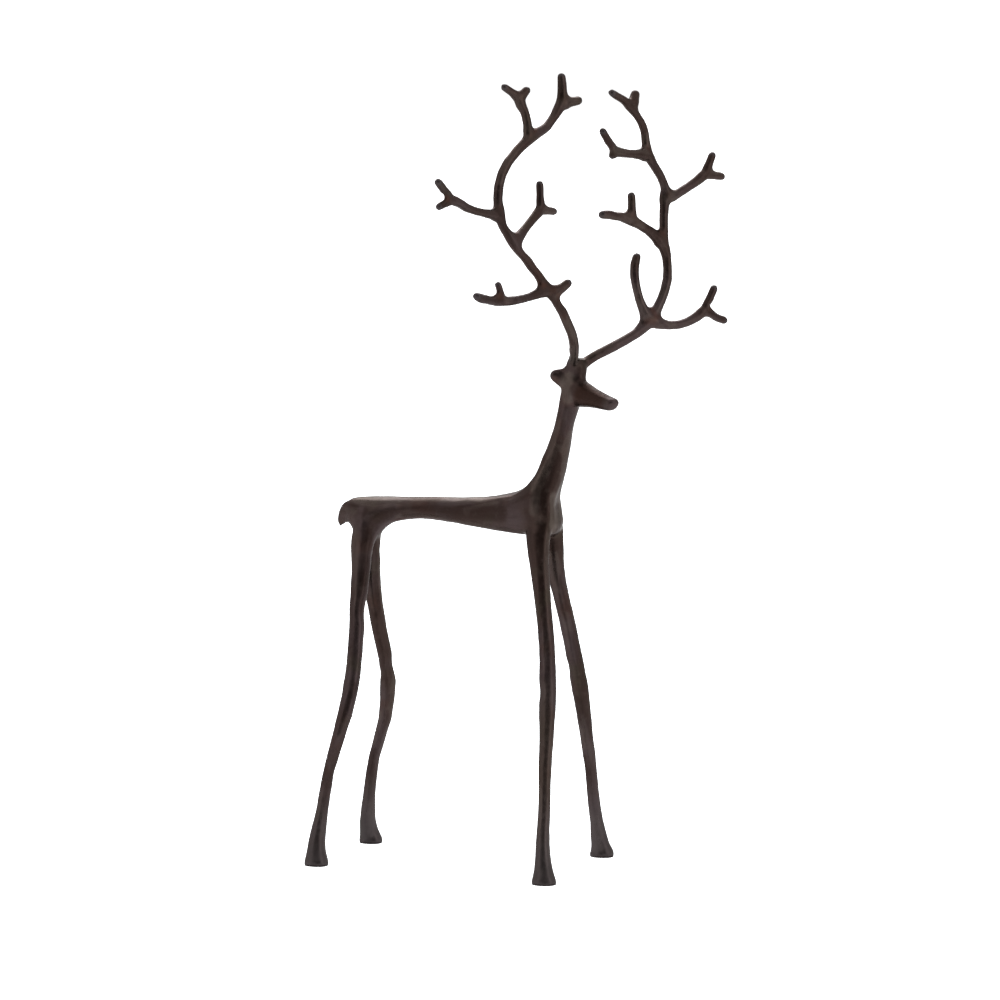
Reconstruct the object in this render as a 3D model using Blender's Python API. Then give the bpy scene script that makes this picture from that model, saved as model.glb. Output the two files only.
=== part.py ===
"""A slim standing reindeer, cast in bronze as one piece.

Lengths are metres and angles are degrees. +X is forward, +Y is the deer's left and +Z is up. The soles rest
at height zero, and the origin lies under the middle of the figure. The driving sizes come first. The tables
below them hold the pose and the proportions, as shares of those sizes.
"""
import math
from typing import NamedTuple

import bmesh
import bpy
from mathutils import Matrix, Vector

# Stance and trunk
BACK_HEIGHT = 0.288
TRUNK_LENGTH = 0.160
BODY_WIDTH = 0.020
BODY_DEPTH = 0.0175
HIND_STANCE = 0.109
FORE_STANCE = 0.129
LEG_THICKNESS = 0.0115
HOOF_HEIGHT = 0.0045
HOOF_LENGTH = 0.0196
HOOF_WIDTH = 0.0172
TOE_LEAD = 0.0008
TAIL_LENGTH = 0.022
TAIL_WIDTH = 0.013

# Neck and head
NECK_HEIGHT = 0.110
NECK_THICKNESS = 0.0150
HEAD_TURN = 27.0
HEAD_DROP = 10.5
MUZZLE_LENGTH = 0.0465
MUZZLE_DEPTH = 0.0190
MUZZLE_WIDTH = 0.0165
NOSE_SLANT = 24.0
EAR_LENGTH = 0.0187
EAR_WIDTH = 0.0115
EAR_THICKNESS = 0.0065
EAR_SWEEP = 35.0
EAR_RISE = 16.0

# Antlers
ANTLER_HEIGHT = 0.222
ANTLER_SWEEP = 0.018
BEAM_THICKNESS = 0.0072
TINE_THICKNESS = 0.0065
PRONG_THICKNESS = 0.0058

# How finely the rounds are faceted, and how many rings lie between two stations
TRUNK_SIDES = 16
LEG_SIDES = 12
HEAD_SIDES = 12
TAIL_SIDES = 10
ANTLER_SIDES = 8
EAR_SIDES = 8
RING_SPACING = 0.0092
RINGS_PER_STATION = 2

# Squareness of a cross-section: 2 is an oval, less slopes like a roof, and more is boxier
ROOFED = 1.85
ROUND = 2.0
HAND_WORKED = 2.25
BOXY = 2.6
SLAB = 3.2


class LegStation(NamedTuple):
    """One level of a leg.

    Height and forward place are shares of the back's height, and out is a share of half the stance. Depth
    runs fore and aft, and both it and width are shares of the leg's thickness.
    """
    height: float
    forward: float
    out: float
    depth: float
    width: float


class Rib(NamedTuple):
    """The back's and the belly's point of one cross-section, its width and its squareness."""
    back_forward: float
    back_height: float
    belly_forward: float
    belly_height: float
    width: float
    squareness: float


class Taper(NamedTuple):
    """One ring along a muzzle or an ear, in shares of its length, height and width."""
    along: float
    height: float
    width: float


class Branch(NamedTuple):
    """A tine or prong. It leaves its parent at a share of the parent's length.

    Its heading turns evenly from start to end: 0 points outwards, 90 up and 180 inwards. The length is a
    share of the antler's height, and lean is how far it leans forward.
    """
    at: float
    start: float
    end: float
    length: float
    lean: float
    branches: tuple = ()


# The hoof, from its flat sole up to where the pastern starts: shares of its height and of its spread
HOOF = ((0.0, 0.96), (0.16, 1.0), (1.0, 0.90))

# The hind leg from above the hoof, over the fetlock, cannon, hock and stifle, up into the hip
HIND_LEG = (
    LegStation(0.035, -0.066, 0.97, 1.28, 1.22),
    LegStation(0.070, -0.067, 0.93, 1.05, 1.04),
    LegStation(0.140, -0.058, 0.87, 0.80, 0.84),
    LegStation(0.250, -0.040, 0.845, 0.72, 0.78),
    LegStation(0.360, -0.007, 0.845, 0.86, 0.84),
    LegStation(0.470, 0.013, 0.70, 1.05, 0.95),
    LegStation(0.575, 0.013, 0.505, 0.99, 0.95),
    LegStation(0.700, 0.006, 0.31, 1.04, 1.02),
    LegStation(0.800, 0.005, 0.18, 1.26, 1.12),
    LegStation(0.865, 0.007, 0.14, 1.62, 1.24),
    LegStation(0.935, 0.010, 0.10, 1.62, 1.26),
)

# The fore leg from above the hoof, over the fetlock, cannon and knee, up into the shoulder
FORE_LEG = (
    LegStation(0.035, 0.057, 0.98, 1.24, 1.20),
    LegStation(0.070, 0.053, 0.955, 1.00, 1.00),
    LegStation(0.140, 0.047, 0.89, 0.80, 0.80),
    LegStation(0.250, 0.043, 0.80, 0.77, 0.77),
    LegStation(0.370, 0.038, 0.67, 0.90, 0.86),
    LegStation(0.500, 0.030, 0.535, 1.14, 1.02),
    LegStation(0.620, 0.017, 0.405, 1.02, 0.98),
    LegStation(0.730, -0.001, 0.325, 1.06, 1.00),
    LegStation(0.840, -0.018, 0.265, 1.29, 1.05),
    LegStation(0.920, -0.025, 0.220, 1.68, 1.15),
    LegStation(0.960, -0.022, 0.150, 1.55, 1.10),
)

# From the rump to the withers. Forward places are shares of the trunk's length from the hip, heights are
# shares of the body's depth from the back line, and widths are shares of the body's width.
TRUNK = (
    Rib(-0.085, -0.32, -0.078, -0.92, 0.62, ROUND),
    Rib(-0.055, -0.14, -0.055, -1.50, 1.00, ROUND),
    Rib(0.010, -0.06, 0.005, -1.88, 1.22, ROUND),
    Rib(0.065, -0.03, 0.062, -1.85, 1.20, ROUND),
    Rib(0.105, -0.02, 0.106, -1.50, 1.12, ROUND),
    Rib(0.140, -0.01, 0.142, -1.25, 1.06, ROUND),
    Rib(0.195, 0.00, 0.200, -1.06, 1.00, ROOFED),
    Rib(0.305, 0.03, 0.305, -0.93, 0.96, ROOFED),
    Rib(0.430, 0.06, 0.430, -1.00, 1.02, ROOFED),
    Rib(0.585, 0.10, 0.580, -1.18, 1.18, ROUND),
    Rib(0.710, 0.21, 0.720, -1.32, 1.40, BOXY),
    Rib(0.800, 0.42, 0.855, -1.42, 1.64, SLAB),
    Rib(0.862, 0.70, 0.990, -1.50, 1.80, SLAB),
    Rib(0.900, 1.01, 1.030, -1.00, 1.74, SLAB),
)

# From the withers to the crown. Forward places are shares of the neck's height ahead of the shoulder,
# heights are shares of the neck's height above the back, and widths are shares of the neck's thickness.
NECK = (
    Rib(-0.098, 0.255, 0.038, -0.010, 1.84, SLAB),
    Rib(-0.066, 0.320, 0.048, 0.110, 1.52, SLAB),
    Rib(-0.034, 0.400, 0.086, 0.240, 1.28, BOXY),
    Rib(0.013, 0.520, 0.117, 0.400, 1.14, BOXY),
    Rib(0.043, 0.650, 0.146, 0.570, 1.08, BOXY),
    Rib(0.068, 0.790, 0.188, 0.690, 1.08, BOXY),
    Rib(0.096, 0.900, 0.224, 0.850, 1.06, BOXY),
    Rib(0.134, 0.985, 0.244, 0.955, 0.90, ROUND),
    Rib(0.162, 1.030, 0.222, 1.020, 0.50, ROUND),
)

# From inside the rump round to the tip of the tail, which curls under. Forward places are shares of the
# tail's length from the hip, heights are shares of it from the back line, and widths of the tail's width.
TAIL = (
    Rib(-0.10, -0.13, -0.10, -1.15, 1.30, ROUND),
    Rib(-0.50, -0.17, -0.50, -1.02, 1.18, ROUND),
    Rib(-0.76, -0.29, -0.64, -0.98, 0.98, ROUND),
    Rib(-0.93, -0.56, -0.73, -1.00, 0.70, ROUND),
    Rib(-1.00, -0.85, -0.82, -1.06, 0.46, ROUND),
    Rib(-0.985, -1.03, -0.88, -1.12, 0.28, ROUND),
    Rib(-0.945, -1.15, -0.90, -1.18, 0.14, ROUND),
)

# The face from inside the skull to the blunt nose, and an ear from inside the skull to its cut tip
MUZZLE = (
    Taper(0.00, 1.05, 0.90),
    Taper(0.22, 1.02, 1.00),
    Taper(0.45, 0.80, 0.90),
    Taper(0.70, 0.66, 0.77),
    Taper(0.90, 0.58, 0.70),
    Taper(0.965, 0.52, 0.63),
    Taper(1.00, 0.36, 0.42),
)
EAR = (
    Taper(0.00, 1.50, 1.35),
    Taper(0.35, 1.35, 1.45),
    Taper(0.60, 1.05, 1.10),
    Taper(0.80, 0.90, 0.84),
    Taper(0.94, 0.75, 0.64),
    Taper(1.00, 0.45, 0.40),
)

# Each beam as places out from the middle and up from the crown, in shares of the antler's height
RIGHT_BEAM = (
    (0.026, -0.025), (0.045, 0.030), (0.086, 0.100), (0.118, 0.145), (0.172, 0.229), (0.231, 0.291),
    (0.304, 0.376), (0.359, 0.447), (0.396, 0.532), (0.390, 0.622), (0.343, 0.702), (0.238, 0.783),
    (0.158, 0.820), (0.097, 0.885), (0.080, 0.925), (0.084, 1.005),
)
LEFT_BEAM = (
    (0.026, -0.010), (0.063, 0.023), (0.131, 0.055), (0.221, 0.099), (0.272, 0.139), (0.320, 0.203),
    (0.360, 0.280), (0.367, 0.360), (0.357, 0.405), (0.366, 0.450), (0.380, 0.540), (0.396, 0.577),
    (0.371, 0.644), (0.316, 0.718), (0.306, 0.791), (0.289, 0.833), (0.243, 0.886), (0.143, 0.941),
)

# How far ahead of the crown's own height the beams bow forward most
BROW = 0.19

RIGHT_TINES = (
    Branch(0.281, -19, 16, 0.385, 7, (Branch(0.63, 70, 70, 0.072, 5),)),
    Branch(0.264, 168, 136, 0.089, 10),
    Branch(0.440, 142, 144, 0.187, -8, (Branch(1.0, 91, 91, 0.100, -4), Branch(1.0, 187, 187, 0.080, -6))),
    Branch(0.525, 2, 24, 0.262, 8, (Branch(1.0, 43, 43, 0.102, 6), Branch(1.0, -22, -22, 0.072, 2))),
    Branch(0.772, 92, 67, 0.143, -9, (Branch(1.0, 30, 30, 0.086, -6), Branch(1.0, 138, 138, 0.052, 4))),
    Branch(0.918, 175, 165, 0.088, 8),
)
LEFT_TINES = (
    Branch(0.244, 128, 62, 0.252, -9),
    Branch(0.248, -30, 45, 0.236, 13, (Branch(1.0, 62, 62, 0.096, 4), Branch(1.0, -24, -24, 0.112, 2))),
    Branch(0.475, 133, 181, 0.307, -7, (Branch(0.535, 88, 88, 0.100, -4),)),
    Branch(0.616, 14, 40, 0.180, 11, (Branch(1.0, 66, 66, 0.084, 4), Branch(1.0, -7, -7, 0.098, -3))),
    Branch(0.757, 180, 171, 0.190, 8, (Branch(1.0, 132, 132, 0.105, 6), Branch(1.0, 241, 241, 0.029, 0))),
    Branch(0.906, 60, 60, 0.068, -10),
)

# How much a tine and a prong widen into the web at their root and over how many of their thicknesses, and how
# much a rod widens where a tine leaves it. Webs are flat: this share of the widening goes fore and aft.
TINE_FLARE = 0.95
PRONG_FLARE = 0.45
WEB_REACH = 1.20
FORK_SWELL = 0.32
WEB_DEPTH = 0.45

# How much the middle of a tine is drawn in, how much its tip swells again, and how much each beam thins upwards
WAIST = 0.09
TIP_SWELL = 0.06
RIGHT_TAPER = 0.10
LEFT_TAPER = 0.28

# The angles, towards the end, at which two rings round off a rod's tip
TIP_ANGLES = (30.0, 65.0)

# Edges sharper than this stay crisp
CREASE = 40.0

# Where the antlers and the face are rooted, in shares of the neck's height ahead of the shoulder and above
# the back, and how far above the face's root the ears lie
CROWN_LEAD, CROWN_RISE = 0.18, 0.995
SKULL_LEAD, SKULL_RISE = 0.155, 0.795
EAR_LIFT = 0.075

# Places that follow from the driving sizes
HIP_FORWARD = -TRUNK_LENGTH / 2
SHOULDER_FORWARD = TRUNK_LENGTH / 2
CROWN = Vector((SHOULDER_FORWARD + CROWN_LEAD * NECK_HEIGHT, 0.0, BACK_HEIGHT + CROWN_RISE * NECK_HEIGHT))
SKULL = Vector((SHOULDER_FORWARD + SKULL_LEAD * NECK_HEIGHT, 0.0, BACK_HEIGHT + SKULL_RISE * NECK_HEIGHT))
EAR_ROOT = SKULL + Vector((0.0, 0.0, EAR_LIFT * NECK_HEIGHT))
AHEAD = Vector((1.0, 0.0, 0.0))
ASIDE = Vector((0.0, 1.0, 0.0))


def ring(centre, across, along, half_across, half_along, sides, squareness=ROUND):
    """Return points on an oval or boxy outline about a centre."""
    points = []
    for side in range(sides):
        angle = 2 * math.pi * (side + 0.5) / sides
        cosine, sine = math.cos(angle), math.sin(angle)
        reach = (abs(cosine) ** squareness + abs(sine) ** squareness) ** (-1 / squareness)
        points.append(centre + across * (half_across * cosine * reach) + along * (half_along * sine * reach))
    return points


def catmull_rom(before, here, there, after, share):
    """Return the value at a share of the way from here to there, on a smooth curve through all four."""
    bend = 2 * before - 5 * here + 4 * there - after
    twist = 3 * (here - there) + after - before
    return here + 0.5 * share * (there - before + share * (bend + share * twist))


def eased(rows):
    """Return rows of numbers that pass smoothly through the given rows, with further rows in each gap."""
    result = []
    for index in range(len(rows) - 1):
        before = rows[max(index - 1, 0)]
        here, there = rows[index], rows[index + 1]
        after = rows[min(index + 2, len(rows) - 1)]
        for step in range(RINGS_PER_STATION):
            share = step / RINGS_PER_STATION
            result.append(tuple(catmull_rom(*four, share) for four in zip(before, here, there, after)))
    result.append(tuple(rows[-1]))
    return result


def loft(name, rings):
    """Make a closed solid from rings of points with equal counts, as an object."""
    form = bmesh.new()
    loops = [[form.verts.new(point) for point in points] for points in rings]
    sides = len(rings[0])
    for lower, upper in zip(loops, loops[1:]):
        for side in range(sides):
            turn = (side + 1) % sides
            form.faces.new((lower[side], lower[turn], upper[turn], upper[side]))
    form.faces.new(loops[0])
    form.faces.new(loops[-1])
    bmesh.ops.triangulate(form, faces=form.faces)
    bmesh.ops.recalc_face_normals(form, faces=form.faces)
    mesh = bpy.data.meshes.new(name)
    form.to_mesh(mesh)
    form.free()
    mesh.shade_smooth()
    mesh.set_sharp_from_angle(angle=math.radians(CREASE))
    result = bpy.data.objects.new(name, mesh)
    bpy.context.scene.collection.objects.link(result)
    return result


def hoof_rings(forward, out):
    """Return the rings of a flared hoof from its flat sole up."""
    rings = []
    for level, spread in HOOF:
        centre = Vector((forward + TOE_LEAD, out, level * HOOF_HEIGHT))
        rings.append(ring(centre, AHEAD, ASIDE, spread * HOOF_LENGTH / 2, spread * HOOF_WIDTH / 2,
                          LEG_SIDES, HAND_WORKED))
    return rings


def leg(name, stations, root, stance, side):
    """Make one leg from its sole to inside the trunk. Side is 1 for the left and -1 for the right."""
    rings = hoof_rings(root + stations[0].forward * BACK_HEIGHT, side * stance / 2)
    for row in eased(stations):
        station = LegStation(*row)
        centre = Vector((root + station.forward * BACK_HEIGHT, side * station.out * stance / 2,
                         station.height * BACK_HEIGHT))
        rings.append(ring(centre, AHEAD, ASIDE, station.depth * LEG_THICKNESS / 2,
                          station.width * LEG_THICKNESS / 2, LEG_SIDES, HAND_WORKED))
    return loft(name, rings)


def placed_ribs(ribs, root, spacing, depth, width):
    """Return ribs as back point, belly point, half width and squareness, from their shares of sizes."""
    placed = []
    for rib in ribs:
        back = (root + rib.back_forward * spacing, 0, BACK_HEIGHT + rib.back_height * depth)
        belly = (root + rib.belly_forward * spacing, 0, BACK_HEIGHT + rib.belly_height * depth)
        placed.append((*back, *belly, rib.width * width / 2, rib.squareness))
    return placed


def ribbed(name, ribs, sides):
    """Make one form through ribs, which may fan round a bend."""
    rings = []
    for row in eased(ribs):
        back, belly, half_width, squareness = Vector(row[0:3]), Vector(row[3:6]), row[6], row[7]
        spine = back - belly
        rings.append(ring((back + belly) / 2, ASIDE, spine.normalized(), half_width, spine.length / 2,
                          sides, squareness))
    return loft(name, rings)


def trunk():
    """Make body, chest and neck as one form, from the rump to the crown."""
    body = placed_ribs(TRUNK, HIP_FORWARD, TRUNK_LENGTH, BODY_DEPTH, BODY_WIDTH)
    neck = placed_ribs(NECK, SHOULDER_FORWARD, NECK_HEIGHT, NECK_HEIGHT, NECK_THICKNESS)
    return ribbed("trunk", body + neck, TRUNK_SIDES)


def tail():
    """Make the short tail, which hooks down and under."""
    ribs = placed_ribs(TAIL, HIP_FORWARD, TAIL_LENGTH, TAIL_LENGTH, TAIL_WIDTH)
    return ribbed("tail", ribs, TAIL_SIDES)


def head_frame(drop=0.0):
    """Return the turned head's forward, left and up directions, nodded down by an angle."""
    nod = Matrix.Rotation(math.radians(-HEAD_TURN), 3, "Z") @ Matrix.Rotation(math.radians(drop), 3, "Y")
    return nod @ Vector((1, 0, 0)), nod @ Vector((0, 1, 0)), nod @ Vector((0, 0, 1))


def muzzle():
    """Make the wedge of the face, from inside the skull to the blunt nose, which slants back to the chin."""
    forward, left, up = head_frame(HEAD_DROP)
    rings = []
    for along_face, height, width in eased(MUZZLE):
        slant = math.radians(NOSE_SLANT) * along_face
        upright = up * math.cos(slant) + forward * math.sin(slant)
        rings.append(ring(SKULL + forward * (along_face * MUZZLE_LENGTH), left, upright,
                          width * MUZZLE_WIDTH / 2, height * MUZZLE_DEPTH / 2, HEAD_SIDES, BOXY))
    return loft("muzzle", rings)


def ear(name, side):
    """Make one flat ear, swept back from the side of the skull and cut blunt at its tip."""
    forward, left, up = head_frame()
    sweep, rise = math.radians(EAR_SWEEP), math.radians(EAR_RISE)
    level = left * (side * math.cos(sweep)) - forward * math.sin(sweep)
    outward = level * math.cos(rise) + up * math.sin(rise)
    flat = outward.cross(level.cross(up)).normalized()
    thin = outward.cross(flat)
    rings = []
    for along_ear, height, width in EAR:
        rings.append(ring(EAR_ROOT + outward * (along_ear * EAR_LENGTH), flat, thin,
                          width * EAR_WIDTH / 2, height * EAR_THICKNESS / 2, EAR_SIDES))
    return loft(name, rings)


def forward_sweep(up):
    """Return how far the beams lie ahead of the crown at a share of the antler's height."""
    height = max(up, 0) / BROW
    return ANTLER_SWEEP * height * math.exp(1 - height)


def beam_line(stations, side):
    """Return the smooth centre line of one beam."""
    forward, left, up = head_frame()
    line = []
    for out, rise in eased(stations):
        line.append(CROWN + left * (side * out * ANTLER_HEIGHT) + up * (rise * ANTLER_HEIGHT)
                    + forward * forward_sweep(rise))
    return line


def branch_line(branch, root, side):
    """Return the centre line of a tine or prong that starts at a point on its parent.

    One more point stands close to the root, where the web is widest.
    """
    forward, left, up = head_frame()
    length = branch.length * ANTLER_HEIGHT
    count = max(2, round(length / RING_SPACING))
    lean = math.radians(branch.lean)
    line = [root.copy()]
    for step in range(count):
        heading = math.radians(branch.start + (branch.end - branch.start) * (step + 0.5) / count)
        level = left * (side * math.cos(heading)) + up * math.sin(heading)
        line.append(line[-1] + (level * math.cos(lean) + forward * math.sin(lean)) * (length / count))
    line.insert(1, line[0].lerp(line[1], 0.5))
    return line


def steps_of(line):
    """Return the length of each step of a line."""
    return [(end - start).length for start, end in zip(line, line[1:])]


def along(line, share):
    """Return the point at a share of a line's length."""
    left_over = share * sum(steps_of(line))
    for start, end, length in zip(line, line[1:], steps_of(line)):
        if left_over <= length:
            return start.lerp(end, left_over / length)
        left_over -= length
    return line[-1].copy()


def rod(name, line, halves, sides):
    """Make a rod with a blunt, rounded tip along a line, from its half widths across and fore and aft."""
    forward = head_frame()[0]
    rings = []
    last = len(line) - 1
    for index, (point, (half_across, half_deep)) in enumerate(zip(line, halves)):
        heading = (line[min(index + 1, last)] - line[max(index - 1, 0)]).normalized()
        across = heading.cross(forward).normalized()
        deep = across.cross(heading)
        if index < last:
            rings.append(ring(point, across, deep, half_across, half_deep, sides))
            continue
        for angle in TIP_ANGLES:
            tip = point - heading * (half_across * (1 - math.sin(math.radians(angle))))
            narrowed = math.cos(math.radians(angle))
            rings.append(ring(tip, across, deep, narrowed * half_across, narrowed * half_deep, sides))
    return loft(name, rings)


def fork_swell(line, children, thickness):
    """Return, for each point of a rod's line, how much the rod widens there for the forks near it."""
    forks = [along(line, child.at) for child in children]
    swells = []
    for point in line:
        near = min(((point - fork).length for fork in forks), default=math.inf)
        swells.append(FORK_SWELL * math.exp(-(near / thickness) ** 2))
    return swells


def tine_halves(line, children, thickness, flare):
    """Return the half widths of a tine: webbed at its root and its forks, and a little swollen at its tip."""
    total = sum(steps_of(line))
    halves = []
    run = 0.0
    for step, swell in zip([0.0, *steps_of(line)], fork_swell(line, children, thickness)):
        run += step
        share = run / total
        plain = 1 - WAIST * math.sin(math.pi * share) + TIP_SWELL * share ** 3
        inside = min(run / (thickness / 2), 1)
        web = swell + flare * inside * math.exp(-(run / (WEB_REACH * thickness)) ** 2)
        halves.append((thickness / 2 * (plain + web), thickness / 2 * (plain + WEB_DEPTH * web)))
    return halves


def beam_halves(line, tines, taper):
    """Return the half widths of a beam, which widens where each tine leaves it and thins to its top."""
    halves = []
    for index, swell in enumerate(fork_swell(line, tines, BEAM_THICKNESS)):
        plain = 1 - taper * index / (len(line) - 1)
        halves.append((BEAM_THICKNESS / 2 * (plain + swell), BEAM_THICKNESS / 2 * (plain + WEB_DEPTH * swell)))
    return halves


def branches(name, children, parent_line, side, thickness, flare):
    """Make the tines of a beam, and the prongs and twigs of each tine."""
    made = []
    for number, child in enumerate(children, 1):
        line = branch_line(child, along(parent_line, child.at), side)
        child_name = f"{name}_{number}"
        made.append(rod(child_name, line, tine_halves(line, child.branches, thickness, flare), ANTLER_SIDES))
        made += branches(child_name, child.branches, line, side, PRONG_THICKNESS, PRONG_FLARE)
    return made


def antler(name, stations, tines, side, taper):
    """Make one antler: its beam and all that grows from it."""
    line = beam_line(stations, side)
    beam = rod(f"{name}_beam", line, beam_halves(line, tines, taper), ANTLER_SIDES)
    return [beam] + branches(f"{name}_tine", tines, line, side, TINE_THICKNESS, TINE_FLARE)


def bronze():
    """Return the casting's dark brown patina."""
    material = bpy.data.materials.new("dark_bronze")
    material.use_nodes = True
    shader = material.node_tree.nodes["Principled BSDF"]
    shader.inputs["Base Color"].default_value = (0.043, 0.029, 0.026, 1.0)
    shader.inputs["Metallic"].default_value = 0.85
    shader.inputs["Roughness"].default_value = 0.42
    return material


def clear_scene():
    """Remove what the empty file starts with."""
    for item in list(bpy.data.objects):
        bpy.data.objects.remove(item, do_unlink=True)


def fuse(whole, forms):
    """Fuse the other forms into the first one, as one casting."""
    group = bpy.data.collections.new("forms")
    bpy.context.scene.collection.children.link(group)
    for form in forms:
        bpy.context.scene.collection.objects.unlink(form)
        group.objects.link(form)
        form.hide_render = True
        form.display_type = "WIRE"
    union = whole.modifiers.new("Casting", "BOOLEAN")
    union.operation = "UNION"
    union.solver = "EXACT"
    union.operand_type = "COLLECTION"
    union.collection = group


def centre_over_origin(whole, forms):
    """Stand the figure with the middle of its box over the origin."""
    bpy.context.view_layer.update()
    seen = whole.evaluated_get(bpy.context.evaluated_depsgraph_get())
    points = [seen.matrix_world @ vertex.co for vertex in seen.data.vertices]
    stand = bpy.data.objects.new("stand", None)
    bpy.context.scene.collection.objects.link(stand)
    stand.location.x = -(min(point.x for point in points) + max(point.x for point in points)) / 2
    stand.location.y = -(min(point.y for point in points) + max(point.y for point in points)) / 2
    for form in [whole, *forms]:
        form.parent = stand


def main():
    """Build the figure."""
    clear_scene()
    whole = trunk()
    whole.name = "reindeer"
    whole.data.materials.append(bronze())
    forms = [
        leg("right_hind_leg", HIND_LEG, HIP_FORWARD, HIND_STANCE, -1),
        leg("left_hind_leg", HIND_LEG, HIP_FORWARD, HIND_STANCE, 1),
        leg("right_fore_leg", FORE_LEG, SHOULDER_FORWARD, FORE_STANCE, -1),
        leg("left_fore_leg", FORE_LEG, SHOULDER_FORWARD, FORE_STANCE, 1),
        tail(),
        muzzle(),
        ear("right_ear", -1),
        ear("left_ear", 1),
    ]
    forms += antler("right_antler", RIGHT_BEAM, RIGHT_TINES, -1, RIGHT_TAPER)
    forms += antler("left_antler", LEFT_BEAM, LEFT_TINES, 1, LEFT_TAPER)
    fuse(whole, forms)
    centre_over_origin(whole, forms)


main()
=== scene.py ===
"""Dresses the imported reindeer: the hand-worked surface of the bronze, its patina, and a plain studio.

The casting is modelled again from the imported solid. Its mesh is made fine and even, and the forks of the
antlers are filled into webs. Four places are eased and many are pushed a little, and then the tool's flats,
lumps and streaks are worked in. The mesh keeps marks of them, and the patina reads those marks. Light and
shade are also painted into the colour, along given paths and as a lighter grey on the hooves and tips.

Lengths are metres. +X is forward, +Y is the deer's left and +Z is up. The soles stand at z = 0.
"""
import math
from collections import namedtuple

import bmesh
import bpy
import numpy as np
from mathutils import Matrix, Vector, kdtree, noise

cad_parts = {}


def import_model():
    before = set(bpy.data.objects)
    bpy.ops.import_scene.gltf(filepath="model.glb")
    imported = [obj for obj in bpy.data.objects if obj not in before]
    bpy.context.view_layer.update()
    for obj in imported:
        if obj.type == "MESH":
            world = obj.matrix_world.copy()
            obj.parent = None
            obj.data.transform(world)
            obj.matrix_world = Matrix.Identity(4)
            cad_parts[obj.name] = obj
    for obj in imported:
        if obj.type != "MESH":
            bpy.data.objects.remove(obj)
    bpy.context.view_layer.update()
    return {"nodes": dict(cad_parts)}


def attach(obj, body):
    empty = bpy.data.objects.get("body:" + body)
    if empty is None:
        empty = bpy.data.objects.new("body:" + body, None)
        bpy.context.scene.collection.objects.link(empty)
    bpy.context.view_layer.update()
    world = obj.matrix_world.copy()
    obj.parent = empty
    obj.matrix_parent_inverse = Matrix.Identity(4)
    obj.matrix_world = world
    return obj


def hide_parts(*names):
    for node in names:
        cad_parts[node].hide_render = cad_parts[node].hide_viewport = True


bl_info = {
    "name": "Cast Bronze Reindeer",
    "version": (1, 0, 0),
    "blender": (4, 5, 0),
    "location": "3D View > Sidebar > Reindeer",
    "description": "Models the surface of a cast bronze reindeer, and lights it in a plain studio",
    "category": "Object",
}

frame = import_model()

NODE = "reindeer"
BODY = "root"

# The random marks are the same on each run
SEED = 7

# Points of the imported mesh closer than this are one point
WELD = 1e-6

# A smoothing round is a step in and a slightly longer step out, which keeps the limbs' thickness
RELAX_IN = 0.50
RELAX_OUT = -0.52

# Points below the first height are pressed flat on the floor, and the marks fade in up to the second
SOLE_DEPTH = 0.0009
SOLE_FADE = 0.004

# The share of the smoothing that the hooves still get below the second height
SOLE_SHARE = 0.1

# The webs grow to their full size over this height, and the left antler's extra thickness over this width
WEB_RAMP = 0.020

# The directions along which the webs are thinned again are averaged this often
WEB_ROUNDS = 2

# The share of the way to its neighbours' middle that a point moves in one round, in a corner and in a saddle
CORNER_STEP = 0.6
EASE_STEP = 0.5

# How often a value is averaged with its neighbours: a limb's direction, the roundness, the flats' cuts and
# tones, the level that the flats are measured from, and the streaks
AXIS_ROUNDS = 14
CURVE_ROUNDS = 12
CUT_ROUNDS = 1
TONE_ROUNDS = 3
LEVEL_ROUNDS = 40
STREAK_ROUNDS = 10

# Turns the height of a point over its neighbours into how strongly the surface curves there
CURVES_PER_DROP = 4.0

# Each point looks at this many near flats, and takes only those that face its way
PLANES_NEAR = 12
SAME_SIDE = 0.5

# Where a flat cuts in, the surface counts as no flatter and no tighter than these radii
FLATTEST = 0.020
TIGHTEST = 0.003

# The soft lumps are a layered noise: how each finer layer fades, how much finer it is, and how many there are
LUMP_FADE = 0.8
LUMP_STEP = 2.0
LUMP_LAYERS = 2

# Streaks run along a limb: how sharply, how much they still run sideways, and how far in one round
STREAK_SHARPNESS = 4
STREAK_SIDEWAYS = 0.02
STREAK_PULL = 0.6

# A streak that stands out by this many standard deviations counts as full
STREAK_FULL = 2

# Keeps the length of a path from being zero where it is a single place
TINY = 1e-12

# The deer's middle plane, the place where its left antler's extra thickness begins, and how much that is
MIDDLE = 0.0149
LEFT_FROM = 0.020
LEFT_SWELL = 0.00024

# The head, where the flats' tones are almost even, and the face, which is darker and duller
HEAD = ((0.0530, 0.0090, 0.3850), (0.0960, -0.0050, 0.3675))
HEAD_REACH = 0.0140
HEAD_CALM = 0.8
FACE = ((0.0700, 0.0045, 0.3735), (0.0860, -0.0010, 0.3690))
FACE_REACH = 0.0058

# Places where parts of the body meet in a smooth saddle: the middle, how far it reaches, and the rounds
Eased = namedtuple("Eased", "name middle reach rounds")
EASED = (
    Eased("hips", (-0.104, 0.0149, 0.262), 0.019, 60),
    Eased("brow", (0.0643, 0.0071, 0.3855), 0.0075, 16),
    Eased("throat", (0.0610, 0.0065, 0.3664), 0.0080, 24),
    Eased("chest", (0.0445, 0.0165, 0.2900), 0.0120, 20),
)

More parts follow.
